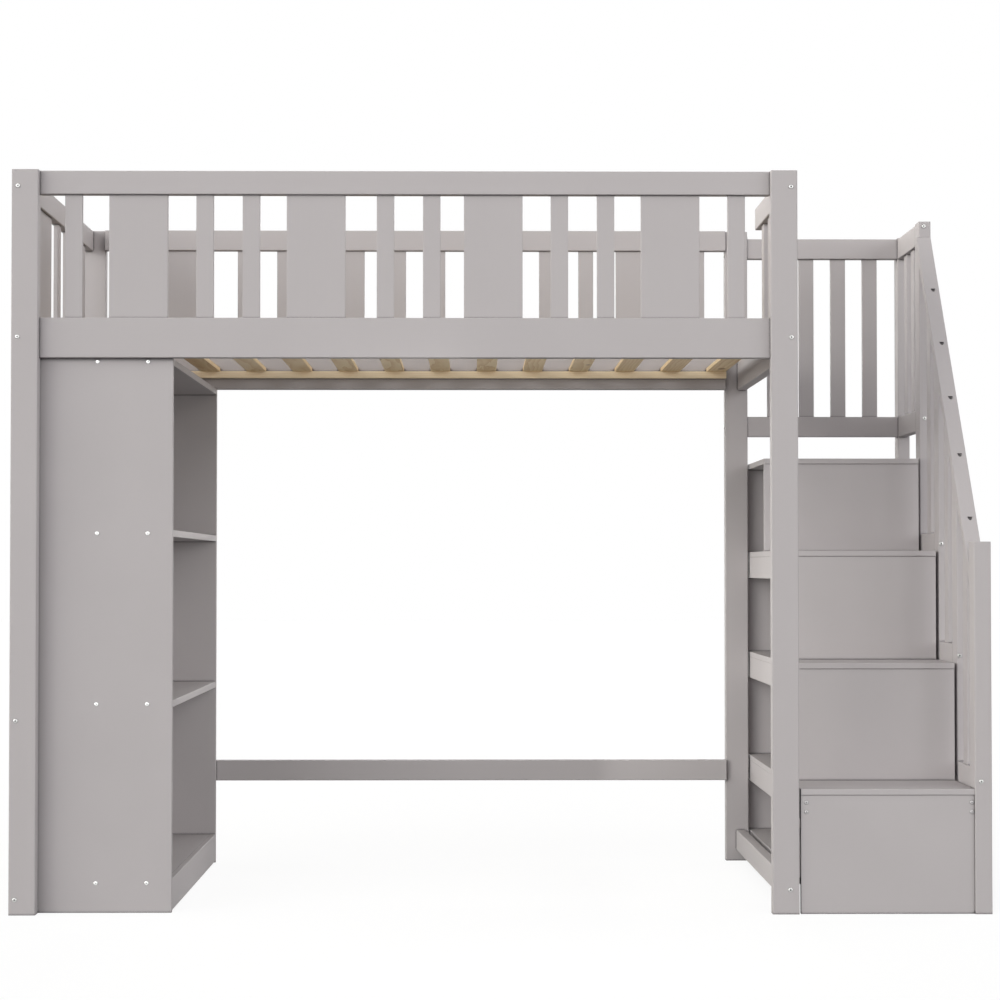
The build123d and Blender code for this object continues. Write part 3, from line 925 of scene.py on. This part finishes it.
@dataclass
class Stairs:
    """Painted boards of the storage stairs."""

    screw: CrossScrew = CrossScrew()
    steps: int = 4
    screw_edges: tuple[float, float] = (13.5 * MM, 7.0 * MM)
    screw_drops: tuple[float, float] = (19.0 * MM, 43.0 * MM)
    screw_turn: float = 1.1

    def dress(self, finishes: Finishes) -> None:
        """Paints the boards."""
        numbers = range(1, self.steps + 1)
        finishes.dress(Slot.BOARD, Axis.X, [f"stair_riser_{i}" for i in numbers])
        finishes.dress(Slot.BOARD, Axis.X, [f"stair_tread_{i}" for i in numbers])
        finishes.dress(Slot.BOARD, Axis.Y, ["stair_side_panels", "stair_bottom_board"])
        finishes.dress(Slot.BOARD, Axis.Z, ["stair_back_panel"])
        finishes.dress(Slot.TIMBER, Axis.Y, ["stair_aprons"])

    def build_screws(self, finishes: Finishes) -> None:
        """Sets a pair of screws at each end of the lowest riser."""
        low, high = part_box("stair_riser_1")
        places = []
        for x in (low.x + self.screw_edges[0], high.x - self.screw_edges[1]):
            for drop in self.screw_drops:
                seat = Vector((x, low.y, high.z - drop))
                places.append(spot(seat, TO_FRONT, self.screw_turn * len(places)))
        screws = self.screw.build().set_out("riser_screws", places)
        fit(screws, finishes.darker_steel, Slot.STEEL)


@dataclass
class Balustrade:
    """Posts, handrail and guards beside the stairs and round the landing."""

    screw: CrossScrew = CrossScrew(
        head_diameter=11.6 * MM,
        head_height=2.8 * MM,
        dome=2.0 * MM,
        recess_length=6.0 * MM,
        recess_width=1.3 * MM,
        recess_depth=1.6 * MM,
    )
    upright: tuple[str, ...] = (
        "lower_newel",
        "upper_newel",
        "landing_corner_post",
        "stair_middle_posts",
        "stair_balusters",
        "landing_back_slats",
        "landing_side_slats",
    )
    crosswise: tuple[str, ...] = ("handrail", "stair_step_rails", "landing_side_rails")

    def dress(self, finishes: Finishes) -> None:
        """Paints the timber along its grain."""
        finishes.dress(Slot.TIMBER, Axis.Z, self.upright)
        finishes.dress(Slot.TIMBER, Axis.Y, self.crosswise)
        finishes.dress(Slot.TIMBER, Axis.X, ["landing_back_rails"])

    def build_screws(self, finishes: Finishes) -> None:
        """Models the handrail's screws in place of the plain ones."""
        sunk = Matrix.Translation((0.0, 0.0, -self.screw.head_height))
        places = [place @ sunk for place in fastener_places("handrail_screws")]
        screws = self.screw.build().set_out("handrail_cross_screws", places)
        fit(screws, finishes.steel, Slot.STEEL, "handrail_screws")


@dataclass(frozen=True)
class SoftLamp:
    """A wide, distant lamp that lights the whole bed evenly from one side."""

    name: str
    towards_left: float
    above: float
    strength: float
    tint: Colour = WHITE
    spread: float = 40.0

    def build(self) -> None:
        """Hangs the lamp."""
        lamp = bpy.data.lights.new(self.name, "SUN")
        lamp.color = self.tint
        lamp.angle = radians(self.spread)
        lamp.energy = self.strength * pi
        holder = bpy.data.objects.new(self.name, lamp)
        holder.rotation_euler = (radians(90.0 - self.above), 0.0, radians(-self.towards_left))
        bpy.context.scene.collection.objects.link(holder)


@dataclass(frozen=True)
class SoftPanel:
    """A soft lamp panel that lightens the shade below the bed and doesn't show in the picture."""

    name: str
    place: tuple[float, float, float]
    size: tuple[float, float]
    facing: tuple[float, float, float]
    strength: float
    tint: Colour = WARM

    def build(self) -> None:
        """Stands the panel in its place, turned the way that it faces."""
        lamp = bpy.data.lights.new(self.name, "AREA")
        lamp.color = self.tint
        lamp.shape = "RECTANGLE"
        lamp.size, lamp.size_y = self.size
        lamp.energy = self.strength * pi * self.size[0] * self.size[1]
        holder = bpy.data.objects.new(self.name, lamp)
        holder.location = self.place
        holder.rotation_euler = Vector(self.facing).to_track_quat("-Z", "Y").to_euler()
        holder.visible_camera = False
        bpy.context.scene.collection.objects.link(holder)


@dataclass
class Studio:
    """White floor and background, soft lamps and the camera."""

    floor_size: float = 60.0
    floor_bounce: float = 0.15
    floor_shading: float = 0.13
    floor_glow: float = 0.892
    camera_place: tuple[float, float, float] = (-0.0720, -5.9654, 0.8758)
    camera_yaw: float = 0.00844
    camera_pitch: float = 0.0222
    camera_lens: float = 77.11
    camera_sensor: float = 36.0
    camera_shift: tuple[float, float] = (0.0090, 0.0208)
    lamps: tuple[SoftLamp, ...] = (
        SoftLamp("front_left_lamp", 30.0, 12.0, 0.38),
        SoftLamp("front_right_lamp", -30.0, 12.0, 0.22),
        SoftLamp("high_lamp", 0.0, 66.0, 0.15),
        SoftLamp("left_front_lamp", 60.0, 12.0, 0.52, WARM),
        SoftLamp("right_front_lamp", -60.0, 12.0, 0.40),
        SoftLamp("left_lamp", 90.0, 12.0, 0.50, WARM),
        SoftLamp("left_back_lamp", 120.0, 12.0, 0.20, WARM),
        SoftLamp("right_back_lamp", -120.0, 40.0, 0.22),
        SoftLamp("back_lamp", 180.0, 12.0, 0.50),
    )
    panels: tuple[SoftPanel, ...] = (
        SoftPanel("front_panel", (0.0, -0.45, 0.65), (1.3, 0.9), (0.0, 1.0, 0.0), 0.35),
        SoftPanel("bookcase_panel", (0.1, -0.47, 0.95), (0.8, 0.8), (-0.6, 0.8, -0.1), 0.70),
        SoftPanel("upper_panel", (0.0, -0.05, 1.40), (1.3, 0.85), (0.0, 0.0, -1.0), 0.20),
        SoftPanel("floor_panel", (0.0, -0.05, 0.015), (1.35, 0.85), (0.0, 0.0, 1.0), 0.06),
        SoftPanel("cubby_panel", (0.35, 0.0, 0.6), (0.8, 0.8), (1.0, 0.0, -0.15), 0.60),
    )

    def build_floor(self) -> None:
        """Lays the floor, white to the camera but for the object's shadow."""
        bpy.ops.object.select_all(action="DESELECT")
        bpy.ops.mesh.primitive_plane_add(size=self.floor_size)
        floor = bpy.context.object
        floor.name = "studio_floor"
        material = bpy.data.materials.new("white_floor")
        sheet = NodeSheet(material)
        bounce = sheet.node("ShaderNodeBsdfDiffuse", inputs={"Color": (*[self.floor_bounce] * 3, 1.0)})
        shaded = sheet.node("ShaderNodeBsdfDiffuse", inputs={"Color": (*[self.floor_shading] * 3, 1.0)})
        glow = sheet.node("ShaderNodeEmission", inputs={"Strength": self.floor_glow})
        seen = sheet.node("ShaderNodeAddShader", inputs={0: shaded, 1: glow})
        surface = sheet.node("ShaderNodeMixShader", inputs={0: sheet.looked_at(), 1: bounce, 2: seen})
        sheet.node("ShaderNodeOutputMaterial", inputs={"Surface": surface})
        floor.data.materials.append(material)

    def build_world(self) -> None:
        """Sets a background that is white to the camera and the steel, and casts no light itself."""
        world = bpy.data.worlds.new("white_studio")
        bpy.context.scene.world = world
        sheet = NodeSheet(world)
        white = (1.0, 1.0, 1.0, 1.0)
        unlit = sheet.node("ShaderNodeBackground", inputs={"Color": white, "Strength": 0.0})
        backdrop = sheet.node("ShaderNodeBackground", inputs={"Color": white, "Strength": 1.0})
        surface = sheet.node("ShaderNodeMixShader", inputs={0: sheet.looked_at(), 1: unlit, 2: backdrop})
        sheet.node("ShaderNodeOutputWorld", inputs={"Surface": surface})

    def build_camera(self) -> None:
        """Sets up the camera where the photograph was taken."""
        camera = bpy.data.cameras.new("camera")
        camera.lens = self.camera_lens
        camera.sensor_width = self.camera_sensor
        camera.shift_x, camera.shift_y = self.camera_shift
        holder = bpy.data.objects.new("camera", camera)
        holder.location = self.camera_place
        holder.rotation_euler = (pi / 2 + self.camera_pitch, 0.0, -self.camera_yaw)
        bpy.context.scene.collection.objects.link(holder)
        bpy.context.scene.camera = holder

    def build(self) -> None:
        """Builds the whole studio."""
        bpy.context.scene.view_settings.view_transform = "Standard"
        self.build_floor()
        self.build_world()
        for lamp in self.lamps:
            lamp.build()
        for panel in self.panels:
            panel.build()
        self.build_camera()


def main() -> None:
    """Builds and dresses the bed, then the studio round it."""
    logging.basicConfig(level=logging.INFO, format="%(message)s")
    finishes = Finishes()
    bed, base, bookcase, stairs, balustrade = BedFrame(), MattressBase(), Bookcase(), Stairs(), Balustrade()
    for part in (bed, base, bookcase, stairs, balustrade):
        part.dress(finishes)
    bed.build_bolts(finishes)
    for part in (base, bookcase, stairs, balustrade):
        part.build_screws(finishes)
    Studio().build()


if __name__ == "__main__":
    main()
